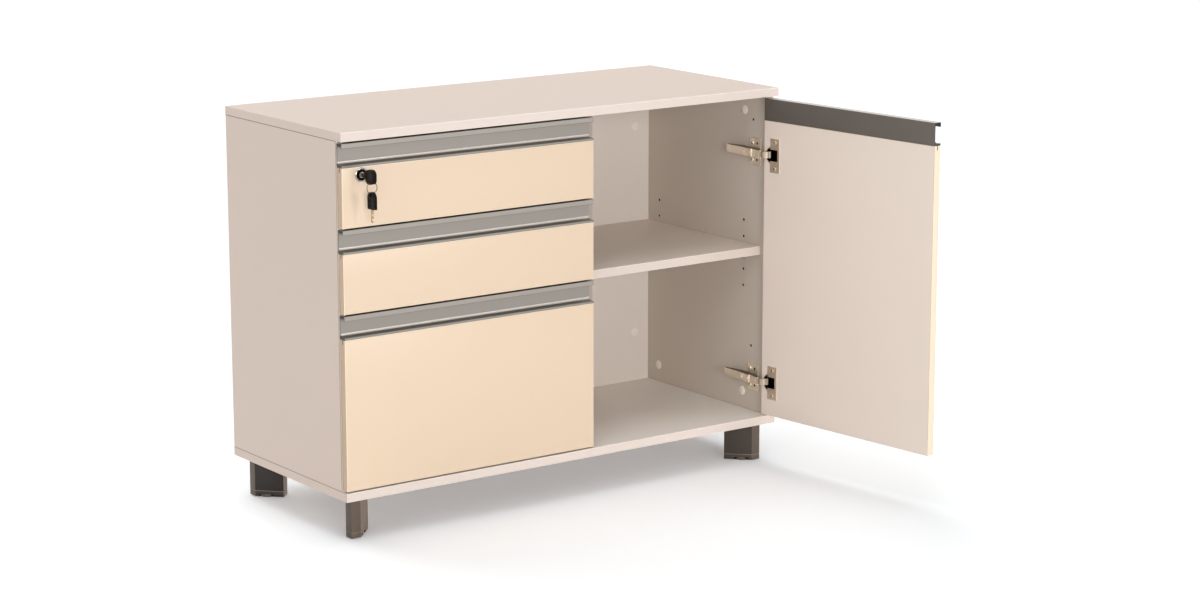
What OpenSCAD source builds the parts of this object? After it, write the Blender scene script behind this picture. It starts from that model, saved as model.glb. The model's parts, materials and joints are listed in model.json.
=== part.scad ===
// Low office cabinet: three drawers beside a compartment with one shelf and one door.
// X runs along the front, Y from the fronts to the back, Z up from the floor.
// The origin is the bottom centre of the cabinet's box with its door standing open.

/* [Cabinet] */
// Overall width across the top panel
cabinet_width = 960; // [930:5:1100]
// Overall depth of the top panel
cabinet_depth = 400; // [396:2:460]
// Height of the carcass without its feet
carcass_height = 650; // [640:2:700]
// Thickness of every carcass board
board = 16; // [15:0.5:18]
// Clear width of the drawer bay
drawer_bay_width = 507.5; // [480:0.5:530]
// Gap between the fronts and the carcass edges behind them
bumper_gap = 1; // [0.8:0.1:2]

/* [Fronts] */
// Thickness of the drawer fronts and the door
front_thickness = 16; // [15:0.5:18]
// Gap around each front
front_gap = 3; // [2:0.25:4]
// Height of a small drawer's front with its grip profile
small_front_height = 147; // [140:1:155]
// How far the door stands open at rest
door_open_angle = 96; // [90:1:100]

/* [Grip profile] */
// Height of the grip profile above its board
grip_height = 42; // [38:1:46]
// Wall of the extrusion
grip_wall = 1.5; // [1.2:0.1:2]
// Height of the nose at the front
grip_nose = 4; // [3:0.5:5]
// Radius of the cove behind the nose
grip_cove = 6; // [5:0.5:8]
// Length of the lip that turns down from the top
grip_lip = 8.5; // [6:0.5:10]
// Thickness of the fin in the board's groove
fin_thickness = 2; // [1.6:0.1:2.6]
// Depth of the fin in the board
fin_depth = 8; // [6:0.5:10]
// Clearance of the fin in its groove
fin_fit = 0.2; // [0.1:0.05:0.3]

/* [Shelf] */
// Height of the shelf's underside above the compartment floor
shelf_rise = 311; // [290:1:330]
// Gap at each end of the shelf
shelf_end_gap = 0.6; // [0.3:0.1:1]
// How far the shelf stands behind the uprights' front edges
shelf_inset = 11; // [8:1:20]
// Pitch of the shelf holes
hole_pitch = 32; // [30:1:34]
// Number of shelf holes above and below the middle one
hole_steps = 2; // [1:1:3]
// Diameter of a shelf hole
hole_diameter = 5; // [4.8:0.1:5.4]
// Depth of a shelf hole
hole_depth = 10; // [9:0.5:11]
// Radial clearance of pins and screws in their holes
pin_fit = 0.1; // [0.05:0.05:0.2]
// Distance of the front row of holes from the upright's front edge
front_row = 63; // [55:1:70]
// Distance of the rear row of holes from the back panel
rear_row = 36; // [30:1:45]

/* [Corner joints] */
// Diameter of a cam
cam_diameter = 15; // [14:0.5:16]
// Depth of a cam's bore
cam_depth = 12.5; // [12:0.1:13]
// Distance of a cam from the joint that it pulls together
cam_distance = 34; // [30:1:38]
// Diameter of the cover cap on a cam
cap_diameter = 17.5; // [16.5:0.5:19]
// Height of a cover cap above the board
cap_height = 1; // [0.8:0.1:1.4]
// Diameter of a cam bolt
bolt_diameter = 6; // [5:0.5:7]
// How deep a cam bolt bites into the next board
bolt_bite = 10; // [8:0.5:11]

/* [Feet] */
// Height of a foot from the floor to the carcass
foot_height = 75; // [70:1:90]
// Length of a foot along its diagonal
foot_length = 67.5; // [64:0.5:75]
// Thickness of a foot
foot_thickness = 27; // [26.5:0.5:30]
// Distance of a foot's point from the cabinet's faces
foot_inset = 20; // [16:1:30]
// Wall of a foot
foot_wall = 2.5; // [2:0.25:3]
// Thickness of a foot's top plate
foot_plate = 4; // [3:0.5:5]
// Height of the cap at the bottom of a foot
foot_cap_height = 11; // [9:0.5:13]
// Diameter of the levelling wheel
wheel_diameter = 25; // [23:0.5:26]
// Thickness of the levelling wheel
wheel_thickness = 6; // [5:0.5:7]
// How far the levelling wheel stands below the foot
wheel_drop = 1.5; // [1:0.25:2.5]
// Diameter of the levelling screw
stem_diameter = 8; // [7:0.5:9]
// Length of the levelling screw above its wheel
stem_length = 28; // [22:1:32]

/* [Drawer boxes] */
// Gap between the drawer boxes and the back panel
box_back_gap = 18; // [13:1:28]
// Thickness of the folded sheet
box_wall = 1.5; // [1.2:0.1:2]
// Height of a small drawer's box
small_box_height = 72; // [66:1:73]
// Distance of the file drawer's box below the top of its front's board
file_box_drop = 42; // [37:1:62]
// Height of a box's bottom above the bottom of its front
box_rise = 8; // [7:0.5:12]
// Width of the fold along the top edges
box_fold = 6; // [5:0.5:8]
// Distance of each file rail from the end of its box
file_rail_inset = 10.5; // [5:0.5:15]

/* [Runners] */
// Space that a runner takes beside a box
runner_space = 12.7; // [12.5:0.1:13.5]
// Height of a runner
runner_height = 45.5; // [44:0.5:48]
// Thickness of a runner's sheet
runner_wall = 1.2; // [1:0.1:1.4]
// Running gap between the members of a runner
runner_play = 0.5; // [0.3:0.1:0.8]
// Distance of a runner's end from the fronts' inner faces
runner_start = 30; // [30:1:34]
// Distance of a runner's first screw from its end
runner_screw_start = 8; // [7:0.5:10]

/* [Door hinges] */
// Distance of a hinge from the end of the door board
hinge_inset = 65; // [60:1:80]
// Diameter of a hinge cup
cup_diameter = 35; // [34:0.5:36]
// Depth of a hinge cup
cup_depth = 12.5; // [12:0.1:13]
// Distance of a cup's centre from the door's edge
cup_inset = 22; // [21.5:0.1:22.5]
// Wall of a hinge cup
cup_wall = 1.5; // [1.2:0.1:1.6]
// Length of the flange on a cup
flange_length = 65; // [62:1:70]
// Width of the flange on a cup
flange_width = 24; // [22:0.5:25]
// Thickness of the flange on a cup
flange_thickness = 1.2; // [1:0.1:1.4]
// Distance between the pivots of a hinge link
link_length = 18.5; // [18.2:0.1:18.8]
// How far a hinge link bows into its cup
link_bow = 5.5; // [5:0.1:5.8]
// Thickness of a hinge link
link_thickness = 2.4; // [2:0.1:2.6]
// Width of a hinge link
link_width = 12; // [10:0.5:13]
// Diameter of a pivot pin
pivot_diameter = 3; // [2.6:0.1:3.2]
// Radial clearance of a pivot pin
pivot_fit = 0.05; // [0.02:0.01:0.1]
// Turn of the link from the closed door to the open one
link_turn = 53; // [52:0.5:54]
// Length of a hinge arm behind the door
arm_length = 92; // [85:1:100]
// Depth of a hinge arm from its plate
arm_depth = 14; // [13.5:0.1:14.5]
// Thickness of a hinge arm's sheet
arm_wall = 1.2; // [1:0.1:1.4]
// Length of a mounting plate
plate_length = 52; // [48:1:56]
// Reach of a mounting plate in front of its screws
plate_front = 25; // [22:1:26]
// Reach of a mounting plate behind its screws
plate_rear = 7; // [6:0.5:8]
// Thickness of a mounting plate's wings
plate_thickness = 2; // [1.6:0.1:2.2]
// Distance of a mounting plate's screws from the middle
plate_screw = 16; // [15:0.5:17]
// Distance of a mounting plate from the upright's front edge
plate_line = 37; // [36:0.5:40]

/* [Lock] */
// Distance of the lock from the front's left end
lock_x = 38.5; // [36:0.5:42]
// Distance of the lock below the top of its board
lock_drop = 14; // [13:0.5:15]
// Diameter of the lock's rosette
rosette_diameter = 25; // [23:0.5:26]
// Diameter of the lock's housing
housing_diameter = 17; // [16:0.5:18]
// Length of the lock's housing behind the front plane
housing_length = 26; // [24:0.5:27]
// Diameter of the lock's plug
plug_diameter = 10; // [9:0.5:11]
// Radius of the cam pin's path
cam_pin_radius = 8; // [7.5:0.1:8.5]
// Diameter of the cam pin
cam_pin_diameter = 4; // [3.5:0.1:4.5]
// Play of the cam pin in the bar's fork
fork_play = 0.4; // [0.3:0.05:0.5]
// Width of the locking bar
bar_width = 7; // [6:0.5:7.5]

/* [Keys] */
// Side of the key's head
head_size = 25; // [22:0.5:27]
// Thickness of the key's head
head_thickness = 8; // [7:0.5:9]
// Distance of the key's head in front of the drawer
head_distance = 19; // [16:0.5:22]
// Mean radius of the key ring
ring_radius = 10; // [9.5:0.25:11]
// Diameter of the key ring's wire
ring_wire = 1.2; // [1:0.1:1.3]
// Width of the spare key's head
spare_width = 22; // [20:0.5:24]
// Height of the spare key's head
spare_height = 30; // [27:0.5:32]
// Thickness of the spare key's head
spare_thickness = 6; // [5:0.5:6.5]
// Length of the spare key's blade
spare_blade = 23; // [20:0.5:26]

/* [Hidden] */
$fn = 48;
eps = 0.01;

board_colour = [0.86, 0.79, 0.73];
front_colour = [0.95, 0.86, 0.75];
profile_colour = [0.63, 0.61, 0.58];
steel_colour = [0.78, 0.77, 0.75];
nickel_colour = [0.74, 0.70, 0.66];
foot_colour = [0.38, 0.34, 0.31];
black_colour = [0.08, 0.08, 0.08];
cap_colour = [0.90, 0.85, 0.80];

left_face = board;
partition_left = board + drawer_bay_width;
partition_right = partition_left + board;
right_face = cabinet_width - board;
upright_front = front_thickness + bumper_gap;
back_front = cabinet_depth - board;
floor_top = board;
ceiling = carcass_height - board;

fronts_left = front_gap / 2;
fronts_right = partition_left + board / 2 - front_gap / 2;
door_left = partition_left + board / 2 + front_gap / 2;
door_right = cabinet_width - front_gap / 2;
fronts_bottom = floor_top + front_gap;
fronts_top = ceiling - front_gap;
large_front_height = fronts_top - fronts_bottom - 2 * (small_front_height + front_gap);
// Bottom, middle and top drawer
front_heights = [large_front_height, small_front_height, small_front_height];
front_zs = [
    fronts_bottom,
    fronts_bottom + large_front_height + front_gap,
    fronts_top - small_front_height
];
function board_top(i) = front_zs[i] + front_heights[i] - grip_height;
file_box_height = large_front_height - grip_height - box_rise - file_box_drop;
door_board_top = fronts_top - grip_height;

box_left = left_face + runner_space;
box_right = partition_left - runner_space;
box_back = back_front - box_back_gap;
box_heights = [file_box_height, small_box_height, small_box_height];
function box_z(i) = front_zs[i] + box_rise;
function runner_z(i) = box_z(i) + (i == 0 ? file_box_height / 2 : small_box_height / 2);
runner_front = front_thickness + runner_start;
runner_length = box_back - runner_front;
runner_screw_ys = [for (k = [0, 5, 8]) runner_front + runner_screw_start + k * hole_pitch];
runner_screw_head = 1.5;

shelf_z = floor_top + shelf_rise;
shelf_front = upright_front + shelf_inset;
shelf_back_gap = 1;
support_rise = 1.5;
support_size = 12;
hole_radius = hole_diameter / 2;
shelf_hole_z = shelf_z - support_rise - hole_radius + pin_fit;
hole_rows = [upright_front + front_row, back_front - rear_row];
shelf_hole_zs = [for (i = [-hole_steps : hole_steps]) shelf_hole_z + i * hole_pitch];

cam_radius = cam_diameter / 2;
cam_rows = [upright_front + front_row, back_front - rear_row];
cam_zs = [floor_top + cam_distance, ceiling - cam_distance];
back_cam_inset_z = 100;
back_cam_zs = [floor_top + back_cam_inset_z, ceiling - back_cam_inset_z];
back_cam_xs = [left_face + cam_distance, right_face - cam_distance];
bolt_radius = bolt_diameter / 2;

// Pivots of the hinge links: on the arm, and in the cup with the door closed
arm_pivot = [right_face - 16, upright_front - 4];
cup_pivot_closed = arm_pivot + [link_length, 0];
cup_pivot = arm_pivot + link_length * [cos(link_turn), -sin(link_turn)];
hinge_zs = [fronts_bottom + hinge_inset, door_board_top - hinge_inset];
cup_x = door_right - cup_inset;
cup_radius = cup_diameter / 2;
mouth_radius = cup_radius - cup_wall;
arm_face = right_face - plate_thickness - 0.5;
arm_outer = arm_face - arm_depth;
arm_half = link_width / 2 + 0.3 + arm_wall;
eye_radius = pivot_diameter / 2 + 1.1;
nose_x = arm_pivot[0] - eye_radius - 0.4 - arm_wall;
plate_y = upright_front + plate_line;

lock_centre = [fronts_left + lock_x, board_top(2) - lock_drop];
housing_fit = 0.1;
plug_fit = 0.05;
cam_plate = 3;
cam_plate_y = housing_length + 0.5;
cam_pin_length = 9;
bar_y = cam_plate_y + cam_plate + 1.5;
bar_gap = 0.3;
bar_left = left_face + bar_gap;
// The bar is thin enough to stay beside the runners' moving members
middle_head = 3.8;
bar_right = left_face + middle_head - 0.5;
// The cam pin stands below the axis to the left, and a quarter turn lifts it
cam_pin_at = lock_centre - cam_pin_radius * [cos(45), sin(45)];
bar_travel = 2 * cam_pin_radius * sin(45);
prong = 2;
prong_gap = cam_pin_diameter / 2 + fork_play;
fork_reach = 4;
peg_height = 6;
peg_gap = 1.5;
catch_rise = 4.5;
catch_height = 14;
catch_y = bar_y + bar_width + 3;
catch_thickness = 2.5;
catch_reach = 6.7;
guide_height = 12;
guide_gap = 0.75;
guide_wall = 1.5;
bar_bottom = box_z(0) + catch_rise - peg_gap - peg_height - 7;
bar_top = cam_pin_at[1] + prong_gap + prong;

head_hole = 2;
head_y = -head_distance - head_size * 0.62;
head_hole_z = lock_centre[1] - head_size / 2 + head_hole + 2.5;
wire_radius = ring_wire / 2;
ring_top = head_hole_z - 0.4;
ring_centre_z = ring_top - ring_radius;
ring_bottom = ring_centre_z - ring_radius;
spare_hole = 3.5;
spare_hole_z = ring_bottom - spare_hole + 1.16;
recess = 0.6;

// The open door reaches further right and forward than the cabinet does
function at_rest(p) =
    cup_pivot + [
        (p[0] - cup_pivot_closed[0]) * cos(door_open_angle)
            - (p[1] - cup_pivot_closed[1]) * sin(door_open_angle),
        (p[0] - cup_pivot_closed[0]) * sin(door_open_angle)
            + (p[1] - cup_pivot_closed[1]) * cos(door_open_angle)
    ];
door_corners = [for (x = [door_left, door_right], y = [0, front_thickness]) at_rest([x, y])];
reach_right = max(cabinet_width, max([for (p = door_corners) p[0]]));
reach_front = min([for (p = door_corners) p[1]]);
centre_x = reach_right / 2;
centre_y = (reach_front + cabinet_depth) / 2;

// Puts the cabinet's front left bottom corner where the row frame needs it
module placed() translate([-centre_x, -centre_y, foot_height]) children();
module block(from, to) translate(from) cube(to - from);
module rod_x(x0, x1, y, z, r) translate([x0, y, z]) rotate([0, 90, 0]) cylinder(r = r, h = x1 - x0);
module rod_y(x, y0, y1, z, r) translate([x, y0, z]) rotate([-90, 0, 0]) cylinder(r = r, h = y1 - y0);
module rod_z(x, y, z0, z1, r) translate([x, y, z0]) cylinder(r = r, h = z1 - z0);
// Extrudes an outline drawn in Y and Z along X
module along_x(x0, x1) translate([x0, 0, 0]) rotate([90, 0, 90]) linear_extrude(x1 - x0) children();
// Swings the closed door and what it carries to the rest pose
module door_at_rest()
    translate([cup_pivot[0], cup_pivot[1], 0])
        rotate(door_open_angle)
            translate([-cup_pivot_closed[0], -cup_pivot_closed[1], 0])
                children();

// Cams in an upright board draw it to the top and bottom panels
module upright_cam_bores(face, inward)
    for (y = cam_rows, z = cam_zs) {
        rod_x(min(face, face + inward * cam_depth), max(face, face + inward * cam_depth), y, z,
              cam_radius + pin_fit);
        end = z < carcass_height / 2 ? floor_top - eps : ceiling + eps;
        rod_z(face + inward * board / 2, y, min(z, end), max(z, end), bolt_radius + pin_fit);
    }
module upright_bolt_holes(x)
    for (y = cam_rows, z = [floor_top - bolt_bite, ceiling - eps])
        rod_z(x, y, z, z + bolt_bite + eps, bolt_radius + pin_fit);
module shelf_holes(face, inward)
    for (y = hole_rows, z = shelf_hole_zs)
        rod_x(min(face, face + inward * hole_depth), max(face, face + inward * hole_depth), y, z,
              hole_radius);

upright_centres = [board / 2, partition_left + board / 2, cabinet_width - board / 2];

module top_panel() color(board_colour) placed() difference() {
    block([0, 0, ceiling], [cabinet_width, cabinet_depth, carcass_height]);
    for (x = upright_centres, y = cam_rows)
        rod_z(x, y, ceiling - eps, ceiling + bolt_bite, bolt_radius + pin_fit);
}

module bottom_panel() color(board_colour) placed() difference() {
    block([0, 0, 0], [cabinet_width, cabinet_depth, floor_top]);
    for (x = upright_centres, y = cam_rows)
        rod_z(x, y, floor_top - bolt_bite, floor_top + eps, bolt_radius + pin_fit);
    for (c = foot_corners) foot_place(c) foot_screw_places()
        translate([0, 0, -eps]) cylinder(r = screw_radius + pin_fit, h = screw_bite + eps);
}

module left_side_panel() color(board_colour) placed() difference() {
    block([0, upright_front, floor_top], [left_face, cabinet_depth, ceiling]);
    upright_cam_bores(left_face, -1);
    runner_screw_places([0]) rod_x(-hole_depth, eps, 0, 0, hole_radius);
    for (z = back_cam_zs)
        rod_x(left_face - bolt_bite, left_face + eps, back_front + board / 2, z, bolt_radius + pin_fit);
}

module right_side_panel() color(board_colour) placed() difference() {
    block([right_face, upright_front, floor_top], [cabinet_width, cabinet_depth, ceiling]);
    upright_cam_bores(right_face, 1);
    shelf_holes(right_face, 1);
    for (z = back_cam_zs)
        rod_x(right_face - eps, right_face + bolt_bite, back_front + board / 2, z,
              bolt_radius + pin_fit);
    for (h = hinge_zs, z = [h - plate_screw, h + plate_screw])
        rod_x(right_face - eps, right_face + hole_depth, plate_y, z, hole_radius);
    // A spare hole of the hinge line stays open above each plate
    for (h = hinge_zs)
        rod_x(right_face - eps, right_face + hole_depth, plate_y, h + plate_screw + 44,
              hole_radius);
}

module centre_partition() color(board_colour) placed() difference() {
    block([partition_left, upright_front, floor_top], [partition_right, back_front, ceiling]);
    upright_cam_bores(partition_right, -1);
    shelf_holes(partition_right, -1);
    runner_screw_places([1]) rod_x(-hole_depth, eps, 0, 0, hole_radius);
}

module back_panel() color(board_colour) placed() difference() {
    block([left_face, back_front, floor_top], [right_face, cabinet_depth, ceiling]);
    for (x = back_cam_xs, z = back_cam_zs) {
        rod_y(x, back_front - eps, back_front + cam_depth, z, cam_radius + pin_fit);
        end = x < cabinet_width / 2 ? left_face - eps : right_face + eps;
        rod_x(min(x, end), max(x, end), back_front + board / 2, z, bolt_radius + pin_fit);
    }
}

module shelf() color(board_colour) placed()
    block([partition_right + shelf_end_gap, shelf_front, shelf_z],
          [right_face - shelf_end_gap, back_front - shelf_back_gap, shelf_z + board]);

// A pin in the upright and a small bracket under the shelf
module shelf_support() {
    rod_x(-hole_depth + 1, support_rise, 0, 0, hole_radius - pin_fit);
    top = hole_radius - pin_fit + support_rise;
    block([0, -support_size / 2, -support_size], [support_rise, support_size / 2, top]);
    block([0, -support_size / 2, top - support_rise], [support_size, support_size / 2, top]);
    block([0, -support_rise / 2, -support_size / 2], [support_size / 2, support_rise / 2, top]);
}
module shelf_supports() color(steel_colour) placed()
    for (y = hole_rows) {
        translate([partition_right, y, shelf_hole_z]) shelf_support();
        translate([right_face, y, shelf_hole_z]) mirror([1, 0, 0]) shelf_support();
    }

// Cams, their caps and bolts share these places: position, and turn about Z of the open side
module at_cams() {
    for (y = cam_rows, z = cam_zs) {
        translate([left_face, y, z]) children();
        translate([partition_right, y, z]) children();
        translate([right_face, y, z]) mirror([1, 0, 0]) children();
    }
    for (x = back_cam_xs, z = back_cam_zs)
        translate([x, back_front, z]) rotate(-90) children();
}
cam_recess = 0.5;
module cams() color(steel_colour) placed() at_cams() difference() {
    rod_x(-cam_depth, -cam_recess, 0, 0, cam_radius);
    for (turn = [0, 90])
        rotate([turn, 0, 0]) block([-3, -0.75, -3.5], [0, 0.75, 3.5]);
}
module cam_caps() color(cap_colour) placed() at_cams() {
    rod_x(0, cap_height / 2, 0, 0, cap_diameter / 2);
    rod_x(cap_height / 2 - eps, cap_height, 0, 0, cap_diameter / 2 - 0.8);
}
module cam_bolts() color(steel_colour) placed() {
    stem = cam_distance - cam_radius - pin_fit;
    for (x = upright_centres, y = cam_rows) {
        rod_z(x, y, floor_top - bolt_bite, floor_top + stem, bolt_radius);
        rod_z(x, y, ceiling - stem, ceiling + bolt_bite, bolt_radius);
    }
    for (z = back_cam_zs) {
        rod_x(left_face - bolt_bite, left_face + stem, back_front + board / 2, z, bolt_radius);
        rod_x(right_face - stem, right_face + bolt_bite, back_front + board / 2, z, bolt_radius);
    }
}

// Feet: each corner is the sign of X and Y towards the cabinet's centre
foot_corners = [[0, 0], [1, 0], [0, 1], [1, 1]];
screw_radius = 2;
screw_bite = 12;
screw_head_radius = 3.8;
screw_head_height = 2.5;
foot_base = -foot_height + wheel_drop;
foot_split = foot_base + foot_cap_height;
wheel_radius = wheel_diameter / 2;
wheel_gap = 0.4;
foot_centre = foot_length - foot_thickness / 2;
wheel_u = -foot_length / 2;

// Puts a foot's point near the corner, with the blade along local -X
module foot_place(c)
    translate([c[0] == 0 ? foot_inset : cabinet_width - foot_inset,
               c[1] == 0 ? foot_inset : cabinet_depth - foot_inset, 0])
        rotate(c[0] == 0 ? (c[1] == 0 ? 225 : 135) : (c[1] == 0 ? 315 : 45))
            children();
// Plan of the blade, drawn in by the given amount, with its point at the origin
module foot_plan(in = 0) {
    half = foot_thickness / 2;
    point = -in * sqrt(2);
    polygon([
        [point, 0],
        [point - (half - in), half - in],
        [-foot_length + in, half - in],
        [-foot_length + in, -(half - in)],
        [point - (half - in), -(half - in)]
    ]);
}
module foot_screw_places() for (u = [-18, -50]) translate([u, 0, 0]) children();

module feet() color(foot_colour) placed() for (c = foot_corners) foot_place(c) difference() {
    translate([0, 0, foot_split]) linear_extrude(-foot_split) foot_plan();
    translate([0, 0, foot_split - eps])
        linear_extrude(-foot_split - foot_plate + eps) foot_plan(foot_wall);
    foot_screw_places()
        translate([0, 0, -foot_plate - eps])
            cylinder(r = screw_radius + pin_fit, h = foot_plate + 2 * eps);
}
cap_lip = 5;
cap_lip_fit = 0.2;
module foot_caps() color(foot_colour) placed() for (c = foot_corners) foot_place(c) difference() {
    union() {
        translate([0, 0, foot_base]) linear_extrude(foot_cap_height) foot_plan();
        translate([0, 0, foot_split])
            linear_extrude(cap_lip) foot_plan(foot_wall + cap_lip_fit);
    }
    rod_z(wheel_u, 0, foot_base - eps, foot_base + wheel_thickness - wheel_drop + wheel_gap,
          wheel_radius + wheel_gap);
    block([wheel_u - wheel_radius - 2, -foot_thickness, foot_base - eps],
          [wheel_u + wheel_radius + 2, foot_thickness,
           foot_base + wheel_thickness - wheel_drop + wheel_gap]);
    rod_z(wheel_u, 0, foot_base, foot_split + cap_lip + eps, stem_diameter / 2 + pivot_fit);
}
module foot_screws() color(steel_colour) placed()
    for (c = foot_corners) foot_place(c) foot_screw_places() {
        rod_z(0, 0, -foot_plate, screw_bite - 1, screw_radius);
        rod_z(0, 0, -foot_plate - screw_head_height, -foot_plate, screw_head_radius);
    }

wheel_notches = 18;
module leveller(c) color(foot_colour) placed() foot_place(c)
    translate([wheel_u, 0, -foot_height]) {
        difference() {
            cylinder(r = wheel_radius, h = wheel_thickness);
            for (i = [0 : wheel_notches - 1])
                rotate(i * 360 / wheel_notches)
                    translate([wheel_radius + 0.4, 0, -eps])
                        cylinder(r = 1.2, h = wheel_thickness + 2 * eps, $fn = 16);
        }
        cylinder(r = stem_diameter / 2, h = wheel_thickness + stem_length);
    }

// Drawer fronts and the door share their board and grip profile
fin_y = front_thickness / 2;
module front_board(x0, x1, z0, z1) difference() {
    block([x0, 0, z0], [x1, front_thickness, z1]);
    block([x0 - eps, fin_y - fin_thickness / 2 - fin_fit, z1 - fin_depth - fin_fit],
          [x1 + eps, fin_y + fin_thickness / 2 + fin_fit, z1 + eps]);
}
port_drop = 4;
module grip_section() {
    web = front_thickness - grip_wall;
    difference() {
        square([front_thickness, grip_nose + grip_cove]);
        translate([-eps, grip_nose]) square([web - grip_cove + eps, grip_cove + eps]);
        translate([web - grip_cove, grip_nose + grip_cove]) circle(r = grip_cove);
    }
    translate([web, 0]) square([grip_wall, grip_height]);
    translate([0, grip_height - grip_wall]) square([front_thickness, grip_wall]);
    translate([0, grip_height - grip_lip]) square([grip_wall, grip_lip]);
    // Screw port under the top flange
    translate([fin_y, grip_height - grip_wall - port_drop]) square([grip_wall, port_drop + eps]);
    translate([fin_y, grip_height - grip_wall - port_drop]) square([web - fin_y - 2, 1]);
    translate([fin_y - fin_thickness / 2, -fin_depth]) square([fin_thickness, fin_depth + eps]);
}
module grip_profile(x0, x1, z) along_x(x0, x1) translate([0, z]) grip_section();

module drawer_front(i) color(front_colour) placed() difference() {
    front_board(fronts_left, fronts_right, front_zs[i], board_top(i));
    if (i == 2)
        rod_y(lock_centre[0], -eps, front_thickness + eps, lock_centre[1],
              housing_diameter / 2 + housing_fit);
}
// The fin of the top drawer's profile is cut away round the lock
module drawer_profile(i) color(profile_colour) placed() difference() {
    grip_profile(fronts_left, fronts_right, board_top(i));
    if (i == 2)
        rod_y(lock_centre[0], eps, front_thickness - eps, lock_centre[1],
              housing_diameter / 2 + 4 * housing_fit);
}

// A tray of folded sheet, with its top edges turned inwards
module drawer_box(i) color(steel_colour) placed() {
    z0 = box_z(i);
    z1 = z0 + box_heights[i];
    difference() {
        block([box_left, front_thickness, z0], [box_right, box_back, z1]);
        block([box_left + box_wall, front_thickness + box_wall, z0 + box_wall],
              [box_right - box_wall, box_back - box_wall, z1 - box_wall]);
        block([box_left + box_fold, front_thickness + box_fold, z1 - 2 * box_wall],
              [box_right - box_fold, box_back - box_fold, z1 + eps]);
    }
}

// Runner members are drawn from the cabinet side outwards: X is the distance from it
outer_depth = 9;
middle_web = 4.2;
inner_half = 14.5;
module runner_pair(i) {
    for (side = [0, 1])
        translate([side == 0 ? left_face : partition_left, runner_front, runner_z(i)])
            mirror([side, 0, 0])
                rotate([90, 0, 0]) mirror([0, 0, 1]) linear_extrude(runner_length) children();
}
module outer_section() {
    half = runner_height / 2;
    translate([0, -half]) square([runner_wall, runner_height]);
    for (m = [0, 1]) mirror([0, m]) {
        translate([0, half - runner_wall]) square([outer_depth, runner_wall]);
        translate([outer_depth - runner_wall, half - 3.2]) square([runner_wall, 3.2]);
    }
}
module middle_section() {
    half = runner_height / 2 - runner_wall - runner_play;
    channel = inner_half + runner_play;
    translate([middle_web, -half]) square([runner_wall, 2 * half]);
    for (m = [0, 1]) mirror([0, m]) {
        translate([middle_head, half - runner_wall])
            square([outer_depth - runner_wall - runner_play - middle_head, runner_wall]);
        translate([middle_web, channel]) square([runner_space - 2 - middle_web, runner_wall]);
    }
}
module inner_section() {
    translate([runner_space - runner_wall, -inner_half]) square([runner_wall, 2 * inner_half]);
    for (m = [0, 1]) mirror([0, m])
        translate([middle_web + runner_wall + runner_play, inner_half - runner_wall])
            square([runner_space - middle_web - runner_wall - runner_play, runner_wall]);
}
// Screws in the uprights hold the outer members: X is the distance from the upright's face
module runner_screw_places(sides, drawers = [0 : 2])
    for (side = sides, i = drawers, y = runner_screw_ys)
        translate([side == 0 ? left_face : partition_left, y, runner_z(i)])
            mirror([side, 0, 0]) children();
module runner_screws() color(steel_colour) placed() runner_screw_places([0, 1]) {
    rod_x(1 - hole_depth, runner_wall, 0, 0, hole_radius - pin_fit);
    rod_x(runner_wall, runner_wall + runner_screw_head, 0, 0, 4);
}
module runner_outer(i) color(steel_colour) placed() difference() {
    runner_pair(i) outer_section();
    runner_screw_places([0, 1], [i : i]) rod_x(-eps, runner_wall + eps, 0, 0, hole_radius);
}
module runner_middle(i) color(steel_colour) placed() runner_pair(i) middle_section();
// A catch goes with the inner members: it stands on the box behind the locking bar
module runner_inner(i) color(steel_colour) placed() {
    runner_pair(i) inner_section();
    z = box_z(i) + catch_rise;
    block([box_left - catch_reach, catch_y, z],
          [box_left, catch_y + catch_thickness, z + catch_height]);
}

// Two rails across the file drawer carry hanging folders
rail_height = 14;
module file_rails() color(steel_colour) placed() {
    z1 = box_z(0) + file_box_height - box_wall;
    for (y = [front_thickness + file_rail_inset, box_back - file_rail_inset])
        block([box_left + box_wall, y - 1, z1 - rail_height], [box_right - box_wall, y + 1, z1]);
}

module door_board() color(front_colour) placed() door_at_rest() difference() {
    front_board(door_left, door_right, fronts_bottom, door_board_top);
    for (z = hinge_zs) {
        rod_y(cup_x, front_thickness - cup_depth - pin_fit, front_thickness + eps, z,
              cup_radius + pin_fit);
        for (s = cup_screw_offsets)
            rod_y(cup_screw_x, front_thickness - cup_screw_bite, front_thickness + eps, z + s,
                  cup_screw_radius + pin_fit);
    }
}
module door_profile() color(profile_colour) placed() door_at_rest()
    grip_profile(door_left, door_right, door_board_top);

// Hinges: mounting plate, arm, bowed link and cup
cup_screw_offsets = [-25, 25];
cup_screw_bite = 11;
cup_screw_radius = 1.75;
flange_edge = 17;
// Opening in the flange through which the arm reaches into the cup
window_width = 19;
window_height = 22;
cup_screw_x = door_right - flange_edge - flange_width / 2;
plate_screw_head = 1.8;
plate_core = 46;
plate_spare_holes = 14;
module hinge_plates() color(nickel_colour) placed() for (h = hinge_zs) difference() {
    union() {
        block([right_face - plate_thickness, plate_y - plate_front, h - plate_length / 2],
              [right_face, plate_y + plate_rear, h + plate_length / 2]);
        block([arm_face, plate_y - plate_core / 2, h - arm_half],
              [right_face, plate_y + plate_core / 2, h + arm_half]);
    }
    // The front pair of holes stays empty
    for (y = [plate_y - plate_spare_holes, plate_y], z = [h - plate_screw, h + plate_screw])
        rod_x(arm_face - eps, right_face + eps, y, z, hole_radius);
}
module hinge_plate_screws() color(nickel_colour) placed()
    for (h = hinge_zs, z = [h - plate_screw, h + plate_screw]) {
        rod_x(right_face - plate_thickness, right_face + hole_depth - 1, plate_y, z,
              hole_radius - pin_fit);
        rod_x(right_face - plate_thickness - plate_screw_head, right_face - plate_thickness,
              plate_y, z, 4);
    }

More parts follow.
